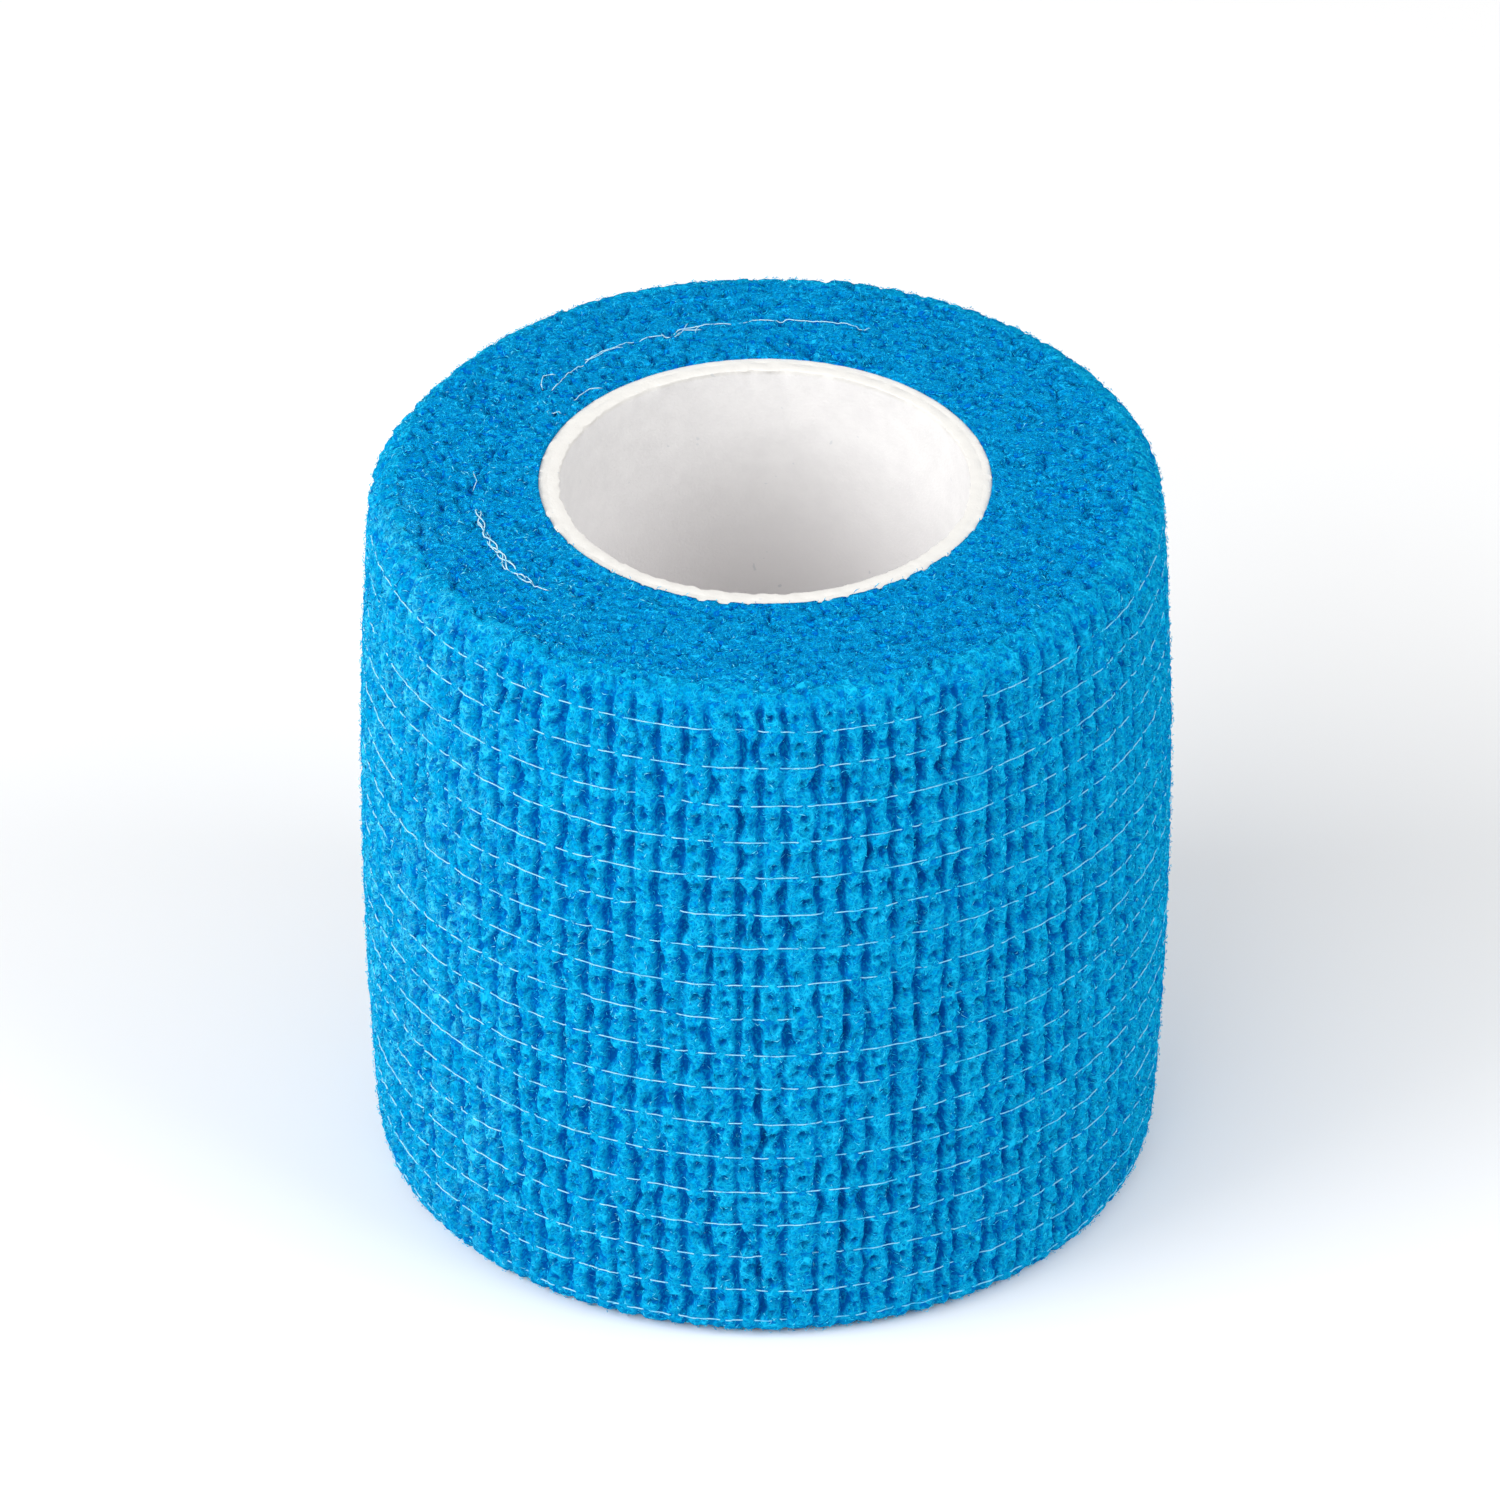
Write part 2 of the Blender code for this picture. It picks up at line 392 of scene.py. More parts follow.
# Materials.
class Shader:
    """A material's node tree, with short ways to add nodes and join them."""

    def __init__(self, name):
        self.material = bpy.data.materials.new(name)
        self.material.use_nodes = True
        self.tree = self.material.node_tree
        self.main = self.tree.nodes["Principled BSDF"]

    def add(self, kind, inputs=(), **settings):
        node = self.tree.nodes.new("ShaderNode" + kind)
        for key, value in settings.items():
            setattr(node, key, value)
        for key, value in dict(inputs).items():
            self.feed(node.inputs[key], value)
        return node

    def feed(self, socket, value):
        if isinstance(value, bpy.types.NodeSocket):
            self.tree.links.new(value, socket)
        else:
            socket.default_value = value

    def set(self, **values):
        for key, value in values.items():
            self.feed(self.main.inputs[key.replace("_", " ")], value)

    def value(self, name):
        """A value that the mesh has at each point."""
        return self.add("Attribute", attribute_name=name).outputs["Fac"]

    def millimetres(self):
        """The place on the object, in millimetres."""
        point = self.add("TexCoord").outputs["Object"]
        scaled = self.add("VectorMath", {0: point, "Scale": 1 / MM}, operation="SCALE")
        return scaled.outputs[0]

    def towards(self, mm, azimuth):
        """How far a place lies from the axis towards an azimuth, in millimetres."""
        way = (math.cos(azimuth), math.sin(azimuth), 0)
        return self.add("VectorMath", {0: mm, 1: way}, operation="DOT_PRODUCT").outputs["Value"]

    def noise(self, mm, scale, detail=2.0, roughness=0.5, output="Fac"):
        """Smooth noise with about this many waves a millimetre."""
        values = {"Vector": mm, "Scale": scale, "Detail": detail, "Roughness": roughness}
        return self.add("TexNoise", values).outputs[output]

    def math(self, operation, *values):
        return self.add("Math", dict(enumerate(values)), operation=operation).outputs[0]

    def span(self, value, low, high, out_low=0.0, out_high=1.0):
        """Value, smoothly brought from low..high to out_low..out_high."""
        values = {"Value": value, "From Min": low, "From Max": high}
        values |= {"To Min": out_low, "To Max": out_high}
        return self.add("MapRange", values, interpolation_type="SMOOTHSTEP").outputs["Result"]

    def mix(self, share, first, second):
        node = self.add("Mix", data_type="RGBA")
        colours = [socket for socket in node.inputs if socket.type == "RGBA"]
        self.feed(node.inputs["Factor"], share)
        self.feed(colours[0], first)
        self.feed(colours[1], second)
        return next(socket for socket in node.outputs if socket.type == "RGBA")

    def bump(self, height, distance, strength=1.0):
        values = {"Height": height, "Distance": distance, "Strength": strength}
        self.feed(self.main.inputs["Normal"], self.add("Bump", values).outputs["Normal"])


# DEEP_BLUE is painted shade in the valleys and pores, and also the random dark speckle.
DEEP_BLUE = (0.0, 0.12, 0.44, 1)
CLOTH_BLUE = (0.0, 0.25, 0.56, 1)
LIGHT_BLUE = (0.0, 0.34, 0.66, 1)
FIBRE_BLUE = (0.01, 0.48, 0.80, 1)
FIBRE_PALE = (0.02, 0.64, 0.92, 1)
FIBRE_WHITE = (0.20, 0.78, 0.95, 1)
THREAD_WHITE = (0.38, 0.74, 0.89, 1)
LOOSE_WHITE = (0.56, 0.82, 0.90, 1)
PAPER_WHITE = (0.79, 0.78, 0.775, 1)
PAPER_GREY = (0.70, 0.69, 0.69, 1)
BORE_PAINTED_LIGHT = (0.92, 0.90, 0.90, 1)
PAPER_SPECK = (0.45, 0.50, 0.55, 1)
RIM_CREAM = (0.73, 0.715, 0.685, 1)
FLOOR_GREY = (0.9, 0.9, 0.9, 1)

# Tints of the cloth, which multiply its colours.
SIDE_TINT = (0.8, 0.96, 0.95)
FACE_TINT = (0.8, 0.99, 1.11)

# Painted sheen: the fuzz is painted whiter on one side of the roll, where the light rakes over it.
PAINTED_SHEEN_AZIMUTH = math.radians(200)
PAINTED_SHEEN_SHARE = 0.22


def tangle(shader, mm, scale, thin):
    """Thin curled lines, as of fibres that lie on the cloth: 1 on a line, else 0.

    They are the places where any of three smooth noises passes through its middle.
    """
    noise = shader.noise(mm, scale, 0.6, output="Color")
    parts = shader.add("SeparateColor", {0: noise}).outputs
    away = [shader.math("ABSOLUTE", shader.math("SUBTRACT", part, 0.5)) for part in parts]
    nearest = shader.math("MINIMUM", shader.math("MINIMUM", away[0], away[1]), away[2])
    return shader.span(nearest, 0.0, thin, 1.0, 0.0)


def crepe_material(name, fineness, tint, pore_shade, bump):
    """Fuzzy non-woven crepe: deep blue in its valleys by painted shade, with pale fibres over its
    crests.

    pore_shade is how much of a crest's lightness the painted shade leaves in its pores.
    """
    shader = Shader(name)
    mm = shader.millimetres()

    # Fine speckle, broad patches, pores, and long and short fibres that lie on the cloth.
    speckle = shader.noise(mm, 3.4 * fineness, 1.5, 0.7)
    patches = shader.noise(mm, 0.8, 1.0)
    pores = shader.noise(mm, 1.7 * fineness, 0.5)
    curls = tangle(shader, mm, 1.15 * fineness, 0.032)
    fuzz = tangle(shader, mm, 2.6 * fineness, 0.040)
    lines = shader.math("MAXIMUM", curls, shader.math("MULTIPLY", fuzz, 0.7))
    # Painted shade in the pores, which also dip the bump.
    closed = shader.span(pores, 0.59, 0.65, 1.0, pore_shade)
    crest = shader.math("MULTIPLY", shader.value("crest"), closed)

    # Painted shade: the cloth lightens from its valleys and pores to its crests, and its paler
    # fibres fade into the painted shade of the valleys.
    colour = shader.mix(shader.span(crest, 0.15, 0.8), DEEP_BLUE, CLOTH_BLUE)
    colour = shader.mix(shader.span(speckle, 0.50, 0.62, 0.0, 0.8), colour, LIGHT_BLUE)
    colour = shader.mix(shader.span(speckle, 0.50, 0.38, 0.0, 0.6), colour, DEEP_BLUE)
    strokes = shader.math("MULTIPLY", lines, shader.span(crest, 0.2, 0.8, 0.10, 1.0))
    faded = shader.math("MULTIPLY", strokes, shader.span(patches, 0.35, 0.65, 0.6, 1.0))
    # Painted sheen: the fibres whiten towards the lit side, in patches.
    painted_sheen = shader.span(shader.towards(mm, PAINTED_SHEEN_AZIMUTH), 20.0, 26.5, 0.0, 0.28)
    painted_sheen = shader.math("MULTIPLY", painted_sheen, shader.span(patches, 0.42, 0.62))
    colour = shader.mix(faded, colour, shader.mix(painted_sheen, FIBRE_BLUE, FIBRE_WHITE))
    colour = shader.add("VectorMath", {0: colour, 1: tint}, operation="MULTIPLY").outputs[0]

    height = shader.math("ADD", speckle, shader.math("MULTIPLY", strokes, 0.6))
    shader.bump(shader.math("ADD", height, closed), bump)
    shader.set(Base_Color=colour, Roughness=0.8, IOR=1.0, Specular_IOR_Level=0.0)
    return shader.material


def fibre_material():
    """Single fibres, from the cloth's blue to nearly white."""
    shader = Shader("loose_fibres")
    tone = shader.value("tone")
    colour = shader.mix(shader.span(tone, 0.0, 0.5), LIGHT_BLUE, FIBRE_BLUE)
    colour = shader.mix(shader.span(tone, 0.4, 0.7), colour, FIBRE_PALE)
    colour = shader.mix(shader.span(tone, 0.75, 1.05), colour, FIBRE_WHITE)
    shader.set(Base_Color=colour, Roughness=0.6, IOR=1.1, Specular_IOR_Level=0.5)
    return shader.material


def thread_material(name, white, clinging, bluer):
    """White elastic, with blue fibres clinging in places. It is painted bluer away from the side
    of the painted sheen, and so whiter towards it.
    """
    shader = Shader(name)
    mm = shader.millimetres()
    # Painted sheen: whiter towards the lit side, bluer away from it.
    around = shader.span(shader.towards(mm, PAINTED_SHEEN_AZIMUTH), 22.0, -6.0, 0.0, bluer)
    cling = shader.span(shader.noise(mm, 1.6, 3.0), 0.42, 0.68, 0.0, clinging)
    colour = shader.mix(shader.math("ADD", cling, around), white, FIBRE_BLUE)
    shader.set(Base_Color=colour, Roughness=0.55, Specular_IOR_Level=0.3)
    return shader.material


def paper_material():
    """White paperboard: a creamy cut rim, and a mottled bore with painted light that makes it
    whiter further down.
    """
    shader = Shader("paperboard_core")
    mm = shader.millimetres()
    mottle = shader.noise(mm, 0.6, 4.0, 0.6)
    grain = shader.noise(mm, 5.0, 4.0, 0.65)
    colour = shader.mix(shader.span(mottle, 0.3, 0.7, 0.0, 0.5), PAPER_WHITE, PAPER_GREY)
    height = shader.add("SeparateXYZ", {0: mm}).outputs["Z"]
    # Painted light: the bore whitens further down, against the shade deep inside it.
    colour = shader.mix(shader.span(height, 47.0, 31.0), colour, BORE_PAINTED_LIGHT)
    colour = shader.mix(shader.value("rim"), colour, RIM_CREAM)
    specks = shader.span(shader.noise(mm, 1.7, 1.0), 0.76, 0.80, 0.0, 0.3)
    colour = shader.mix(specks, colour, PAPER_SPECK)
    shader.bump(grain, 0.05 * MM, 0.7)
    shader.set(Base_Color=colour, Roughness=0.9, Specular_IOR_Level=0.1)
    return shader.material


# Pieces.
def add_object(name, data):
    thing = bpy.data.objects.new(name, data)
    bpy.context.scene.collection.objects.link(thing)
    return thing


def add_piece(name, points, faces, material, slot=None, **values):
    """A mesh piece on the roll's one body, with its values for the shader at each point."""
    mesh = bpy.data.meshes.new(name)
    mesh.from_pydata(points, [], faces)
    for key, numbers in values.items():
        layer = mesh.attributes.new(key, "FLOAT", "POINT")
        layer.data.foreach_set("value", np.ascontiguousarray(numbers, np.float32).ravel())
    mesh.shade_smooth()
    mesh.materials.append(material)
    piece = add_object(name, mesh)
    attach(piece, "root")
    return piece


def grid_faces(rows, columns, closed=False):
    """Quads between a grid's points, which are numbered row by row."""
    i = np.arange(rows - 1)[:, None] * columns
    j = np.arange(columns if closed else columns - 1)[None, :]
    right = (j + 1) % columns
    corners = (i + j, i + right, i + columns + right, i + columns + j)
    return np.stack([c.ravel() for c in corners], axis=1)


# The side's grid: where its columns lie between two valleys, closer together by the valleys,
# and where they lie on the tail's cut face.
COLUMN_PLACES = (0.0, 0.07, 0.15, 0.26, 0.38, 0.5, 0.62, 0.74, 0.85, 0.93)
TAIL_EDGE_PLACES = (0.2, 0.5, 0.8)
ROW_SPACING = 0.2 * MM
SIDE_SECTORS = 3

# Painted shade: from which depth on the cloth is painted darkest, and how much darker the middle
# of the rounded edge is painted.
CREST_SPAN = 0.75 * MM
EDGE_PAINTED_SHADE = 0.25


def column_ribs(arc):
    """Where each column of points lies, in ribs: the columns follow the valleys."""
    row = thread_row(profile(arc)[1])
    valleys = np.arange(RIB_COUNT + 1)[None, :]
    line = valleys + at_knots(VALLEY_STRAY, valleys, row[:, None])
    places = np.array(COLUMN_PLACES)
    between = line[:, :-1, None] * (1 - places) + line[:, 1:, None] * places
    return np.concatenate([between.reshape(len(arc), -1), line[:, -1:]], axis=1)


def crest_share(depth):
    """1 on the crests, and down to 0 in the valleys, which sets the painted shade."""
    return np.clip(1 - depth / CREST_SPAN, 0, 1)


def with_tail_edge(points):
    """Adds the cut end's face: columns from the last one down to the first."""
    last, first = points[:, -1:], points[:, :1]
    edge = [last * (1 - share) + first * share for share in TAIL_EDGE_PLACES]
    return np.concatenate([points, *edge], axis=1)


def side_grid():
    """Points and crest shares in rows from the foot to the top, and the columns' ribs."""
    arc = np.linspace(-EDGE_END, EDGE_END, int(2 * EDGE_END / ROW_SPACING) + 1)
    rib = column_ribs(arc)
    depth = relief(rib, arc[:, None])
    points, _ = place(rib, arc[:, None], depth)
    _, _, out, up = profile(arc[:, None])
    # Painted shade: the middle of the rounded edge is painted darker, by its tilt.
    crest = crest_share(depth) * (1 - EDGE_PAINTED_SHADE * 2 * out * np.abs(up))
    return with_tail_edge(points), with_tail_edge(crest), rib


def add_side(grid, crest, material):
    """The crepe's side and both rounded edges, in sectors that meet along a column."""
    rows, columns = crest.shape
    bounds = np.linspace(0, columns, SIDE_SECTORS + 1).astype(int)
    for number in range(SIDE_SECTORS):
        chosen = np.arange(bounds[number], bounds[number + 1] + 1) % columns
        piece = add_piece(
            f"crepe_side_{number + 1}",
            grid[:, chosen].reshape(-1, 3),
            grid_faces(rows, len(chosen)),
            material,
            "crepe_bandage",
            crest=crest[:, chosen],
        )
        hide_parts("bandage_roll")


# The end faces: their rings, over how many of them the columns straighten, and the rows of
# the bore's wall, down to mid-height.
FACE_ROW_SPACING = 0.2 * MM
STRAIGHT_AFTER_RINGS = 12
BORE_WALL_ROWS = 3


def face_ribs(outer_rib, rings):
    """The rings' columns, in ribs: every other one of the side's, then evenly spread."""
    swayed = np.append(outer_rib, [RIB_COUNT] * len(TAIL_EDGE_PLACES))[::2]
    even = np.linspace(0, RIB_COUNT, len(swayed), endpoint=False)
    share = smooth(np.arange(1, rings + 1) / STRAIGHT_AFTER_RINGS)[:, None]
    return swayed[None, :] * (1 - share) + even[None, :] * share


def stitches(columns):
    """Triangles from a closed ring of points to the next ring, which has half as many."""
    coarse = columns // 2
    faces = []
    for i in range(coarse):
        a, b, c = 2 * i, 2 * i + 1, (2 * i + 2) % columns
        low, high = columns + i, columns + (i + 1) % coarse
        faces += [(a, b, low), (b, high, low), (b, c, high)]
    return faces


def add_end_face(name, outer_points, outer_crest, outer_rib, side, material):
    """One end face: its outer ring is the side's last, then rings with half the columns."""
    columns = len(outer_crest)
    coarse = columns // 2
    rings = int(FACE_RUN / FACE_ROW_SPACING)
    arc = side * (EDGE_END + FACE_RUN * np.arange(1, rings + 1) / rings)[:, None]
    rib = face_ribs(outer_rib, rings)
    depth = relief(rib, arc)
    points, _ = place(rib, arc, depth)
    down = np.linspace(0, WIDTH / 2, BORE_WALL_ROWS + 1)[1:, None, None]
    wall = points[-1:] - np.array([0, 0, side]) * down
    # Painted shade: the cloth's wall down the bore gets the darkest colour of the valleys.
    crest = [outer_crest, crest_share(depth).ravel(), np.zeros(coarse * BORE_WALL_ROWS)]
    faces = (grid_faces(rings + BORE_WALL_ROWS, coarse, closed=True) + columns).tolist()
    faces += stitches(columns)
    if side < 0:
        faces = [face[::-1] for face in faces]
    piece = add_piece(
        name,
        np.concatenate([outer_points, points.reshape(-1, 3), wall.reshape(-1, 3)]),
        faces,
        material,
        "crepe_bandage",
        crest=np.concatenate(crest),
    )
    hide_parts("bandage_roll")


# Threads and fibres are thin three-sided tubes.
TUBE_CORNERS = np.radians((90, 210, 330))


def tube_faces(steps):
    """Triangles of one three-sided tube whose two end points are its tips."""
    rings = steps - 2
    first, last = 3 * rings, 3 * rings + 1
    faces = []
    for i in range(3):
        j = (i + 1) % 3
        faces.append((first, j, i))
        faces.append((last, 3 * rings - 3 + i, 3 * rings - 3 + j))
        for ring in range(rings - 1):
            a, b = 3 * ring + i, 3 * ring + j
            faces += [(a, b, b + 3), (a, b + 3, a + 3)]
    return np.array(faces)


def tubes(lines, outward, radii):
    """Points and faces of thin tubes along the lines, each drawn to a tip at both ends.

    The third result is the number of points of one tube.
    """
    count, steps, _ = lines.shape
    along = np.gradient(lines, axis=1)
    across = np.cross(along, outward)
    across /= np.linalg.norm(across, axis=2, keepdims=True)
    up = np.cross(across, along)
    up /= np.linalg.norm(up, axis=2, keepdims=True)
    radii = np.reshape(radii, (-1, 1, 1))
    rings = [lines + radii * (math.cos(t) * across + math.sin(t) * up) for t in TUBE_CORNERS]
    body = np.stack(rings, axis=2)[:, 1:-1].reshape(count, -1, 3)
    points = np.concatenate([body, lines[:, :1], lines[:, -1:]], axis=1)
    each = points.shape[1]
    faces = tube_faces(steps)[None] + np.arange(count)[:, None, None] * each
    return points.reshape(-1, 3), faces.reshape(-1, 3), each


# Elastic threads: one in each row, bridging the valleys. THREAD_END_GAP is in ribs.
THREAD_RADIUS = 0.050 * MM
THREAD_STEPS_PER_RIB = 7
THREAD_END_GAP = 0.02
THREAD_OVER_CLOTH = 0.03 * MM
THREAD_REST_DEPTH = 0.17 * MM

# Each thread wanders up and down by about THREAD_DRIFT, in slow and in quick waves, with
# (waves round the roll, the first thread's seed).
THREAD_SEED = 100
THREAD_DRIFT = 0.10 * MM
SLOW_DRIFT = (14, 200)
QUICK_DRIFT = (60, 300)
QUICK_DRIFT_SHARE = 0.6

# It dips under the fibres of most ribs: (from, to) for the middle of each dip and for its
# reach, in ribs. In a few places it is lost for longer, where a wave rises over a level.
THREAD_DIP = 0.20 * MM
DIP_CHANCE = 0.75
DIP_MIDDLES = (0.35, 0.65)
DIP_REACHES = (0.14, 0.30)
DIP_SLOPE = 1.6
LOST_WAVES = (31, 400)
LOST_LEVEL = 0.55
LOST_BLEND = 0.2


def thread_line(number):
    """One thread's points and the way out of the cloth at each."""

    def waves(columns, first_seed):
        return ripple(rib / RIB_COUNT, columns, first_seed + number)

    rng = np.random.default_rng(THREAD_SEED + number)
    rib = np.linspace(THREAD_END_GAP, RIB_COUNT - THREAD_END_GAP, RIB_COUNT * THREAD_STEPS_PER_RIB)
    height = TOP_THREAD_HEIGHT - number * THREAD_PITCH + rng.uniform(-0.5, 0.5) * THREAD_DRIFT
    drift = waves(*SLOW_DRIFT) + QUICK_DRIFT_SHARE * waves(*QUICK_DRIFT)
    height = height + THREAD_DRIFT * drift
    arc = np.clip(height - WIDTH / 2, -HALF_SIDE - 0.5 * EDGE_ROUND, HALF_SIDE)
    depth = np.minimum(relief(rib, arc) - THREAD_OVER_CLOTH, THREAD_REST_DEPTH)
    cell = np.clip(np.floor(rib).astype(int), 0, RIB_COUNT - 1)
    middle = rng.uniform(*DIP_MIDDLES, RIB_COUNT)[cell]
    reach = rng.uniform(*DIP_REACHES, RIB_COUNT)[cell]
    hidden = (rng.random(RIB_COUNT) < DIP_CHANCE)[cell]
    dip = falloff(np.abs(rib - cell - middle) / reach, DIP_SLOPE)
    lost = smooth((waves(*LOST_WAVES) - LOST_LEVEL) / LOST_BLEND)
    depth = depth + THREAD_DIP * np.maximum(dip * hidden, lost)
    return place(rib, arc, depth)


def add_threads(material):
    made = [thread_line(number) for number in range(THREAD_ROWS)]
    lines = np.stack([line for line, _ in made])
    outward = np.stack([out for _, out in made])
    points, faces, _ = tubes(lines, outward, THREAD_RADIUS)
    add_piece("elastic_threads", points, faces, material)


# Loose elastic on the top end face, each: first and last azimuth in degrees, radius at
# each in mm, how far it weaves to and fro in mm, how much of its wave comes first, and
# its thread's radius in mm.
LOOSE_STRANDS = (
    (190, 220, 18.7, 19.4, 0.20, 0.0, 0.052),
    (190, 218, 18.7, 19.4, 0.22, 0.5, 0.052),
    (195, 214, 18.9, 19.3, 0.26, 0.2, 0.046),
    (216, 224, 19.3, 19.1, 0.14, 0.6, 0.038),
    (177, 184, 18.7, 18.8, 0.15, 0.2, 0.034),
    (69, 127, 19.25, 18.45, 0.03, 0.3, 0.036),
    (126, 143, 18.45, 17.4, 0.05, 0.1, 0.040),
    (103, 130, 18.4, 18.35, 0.07, 0.8, 0.036),
)
STRAND_WAVE = 2.7 * MM
STRAND_STEP = 0.20 * MM
STRAND_SEED = 500

# Its small kinks: how long each is, the fewest of them, and their share of the weave.
STRAND_KINK = 1.2 * MM
FEWEST_KINKS = 4
KINK_SHARE = 0.5

# Kinked stray ends there, as (radius in mm, azimuth in degrees) points.
STRAY_ENDS = (
    ((18.2, 111.6), (18.0, 109.3), (18.6, 107.0), (19.3, 105.1)),
    ((18.1, 104.6), (18.5, 104.3), (18.8, 103.3)),
    ((18.3, 137.7), (18.9, 139.7), (18.4, 142.5), (18.0, 143.1)),
    ((15.4, 143.8), (15.6, 140.0), (15.6, 136.7), (15.0, 134.6)),
    ((15.9, 150.7), (15.4, 149.0), (15.2, 148.1)),
)
STRAY_RADIUS = 0.040 * MM
STRAY_STEPS = 9

# How all of it lies: it floats over the tufts, whose depth is averaged over some steps, and
# waves bury it here and there.
STRAND_FLOAT = 0.07 * MM
AVERAGED_STEPS = 5
STRAND_BURIED = 0.13 * MM
BURIED_WAVES = 22
BURIED_SLOPE = 2.2
STRAND_BURIED_SEED = 520
STRAY_BURIED_SEED = 540


def laid_on_top(radius, azimuth, seed):
    """A line over the top face's tufts. Here and there it is buried among them."""
    arc = EDGE_END + (END_RADIUS - EDGE_ROUND - radius)
    rib = rib_at(azimuth)
    depth = relief(rib, arc)
    padded = np.pad(depth, AVERAGED_STEPS // 2, "edge")
    average = np.convolve(padded, np.full(AVERAGED_STEPS, 1 / AVERAGED_STEPS), "valid")
    share = np.linspace(0, 1, len(arc))
    buried = smooth(ripple(0.5 * share, BURIED_WAVES, seed) * BURIED_SLOPE - 0.5)
    depth = np.minimum(depth, average) - STRAND_FLOAT + STRAND_BURIED * buried
    return place(rib, arc, depth)


def woven_strand(number):
    """One loose strand's line, way out of the cloth and radius. It weaves to and fro."""
    first, last, start, end, weave, phase, thick = LOOSE_STRANDS[number]
    run = math.radians(last - first) * start * MM
    share = np.linspace(0, 1, int(run / STRAND_STEP))
    wave = np.sin(2 * math.pi * (share * run / STRAND_WAVE + phase))
    kinks = ripple(0.5 * share, max(FEWEST_KINKS, int(run / STRAND_KINK)), STRAND_SEED + number)
    radius = (start + (end - start) * share + weave * (wave + KINK_SHARE * kinks)) * MM
    azimuth = np.radians(first + (last - first) * share)
    return *laid_on_top(radius, azimuth, STRAND_BURIED_SEED + number), thick * MM


def stray_end(number):
    """One stray end's line, way out of the cloth and radius."""
    radii, azimuths = zip(*STRAY_ENDS[number])
    knots = np.linspace(0, 1, len(radii))
    share = np.linspace(0, 1, STRAY_STEPS)
    radius = np.interp(share, knots, radii) * MM
    azimuth = np.radians(np.interp(share, knots, azimuths))
    return *laid_on_top(radius, azimuth, STRAY_BURIED_SEED + number), STRAY_RADIUS


def add_loose_elastic(material):
    """The loose turn of elastic thread and its stray ends, which cling to the top face."""
    parts = [woven_strand(number) for number in range(len(LOOSE_STRANDS))]
    parts += [stray_end(number) for number in range(len(STRAY_ENDS))]
    points, faces, start = [], [], 0
    for line, outward, thick in parts:
        made, triangles, _ = tubes(line[None], outward[None], thick)
        points.append(made)
        faces.append(triangles + start)
        start += len(made)
    add_piece("loose_elastic", np.concatenate(points), np.concatenate(faces), material)


# Loose fibres: short curls that lie on the cloth. Their lengths, their radii and the lift of
# their middles are (from, to), and their curl is an angle's spread in radians.
FIBRE_POINTS = 3
SIDE_FIBRES = 32000
FACE_FIBRES = 16000
FIBRE_LENGTHS = (0.25 * MM, 0.9 * MM)
FIBRE_RADII = (0.020 * MM, 0.038 * MM)
FIBRE_CURL = 2.4
FIBRE_LIFT = (0.05 * MM, 0.16 * MM)
LIFT_AT_ENDS = 0.2

# One end stands up by a share of FIBRE_STANDS, which is larger on the end faces.
FIBRE_STANDS = 0.35 * MM
STANDS_ON_FACE = (-0.1, 1.2)
STANDS_ON_SIDE = (-0.1, 0.25)

# How far from the tail fibres start and stay, in ribs, and how far from the bore.
FIBRE_START_GAP = 0.3
FIBRE_TAIL_GAP = 0.05
FIBRE_BORE_GAP = 0.1 * MM

# Their tones, from 0 for blue to 1 for white, follow a beta distribution.
TONE_WHITER = 1.5
TONE_BLUER_ON_SIDE = 1.6
TONE_BLUER_ON_FACE = 2.4
SIDE_FIBRE_SEED = 61
FACE_FIBRE_SEED = 62


def fibre_lines_on(arc, rng):
    """Curled lines on the cloth, one starting at each arc and a random rib.

    Fewer are kept where the roll is narrower, so that they lie equally close.
    """
    radius = profile(arc)[0]
    keep = rng.random(len(arc)) < radius / (END_RADIUS + BARREL_SWELL)
    arc, radius = arc[keep], radius[keep]
    count = len(arc)
    rib = rng.uniform(FIBRE_START_GAP, RIB_COUNT - FIBRE_START_GAP, count)
    length = rng.uniform(*FIBRE_LENGTHS, count)
    heading = rng.uniform(0, 2 * math.pi, count)
    curl = rng.normal(0, FIBRE_CURL, count)
    step = np.arange(FIBRE_POINTS) / (FIBRE_POINTS - 1) - 0.5
    turned = heading[:, None] + curl[:, None] * step
    reach = length[:, None] / FIBRE_POINTS
    dx = np.cumsum(np.cos(turned), axis=1) * reach
    dy = np.cumsum(np.sin(turned), axis=1) * reach
    ribs = rib[:, None] + dx * RIB_COUNT / (2 * math.pi * radius[:, None])
    ribs = np.clip(ribs, FIBRE_TAIL_GAP, RIB_COUNT - FIBRE_TAIL_GAP)
    limit = HALF_PROFILE - FIBRE_BORE_GAP
    arcs = np.clip(arc[:, None] + dy, -limit, limit)
    depth = relief(ribs, arcs)
    depth = np.minimum(depth, depth.mean(axis=1, keepdims=True))
    bow = LIFT_AT_ENDS + (1 - LIFT_AT_ENDS) * np.sin(math.pi * (step + 0.5))
    lift = rng.uniform(*FIBRE_LIFT, count)[:, None] * bow
    on_face = np.abs(arc) > EDGE_END
    face_stands = rng.uniform(*STANDS_ON_FACE, count)
    side_stands = rng.uniform(*STANDS_ON_SIDE, count)
    stands = np.where(on_face, face_stands, side_stands)
    lift += FIBRE_STANDS * stands[:, None] * (step + 0.5)
    return place(ribs, arcs, depth - lift)


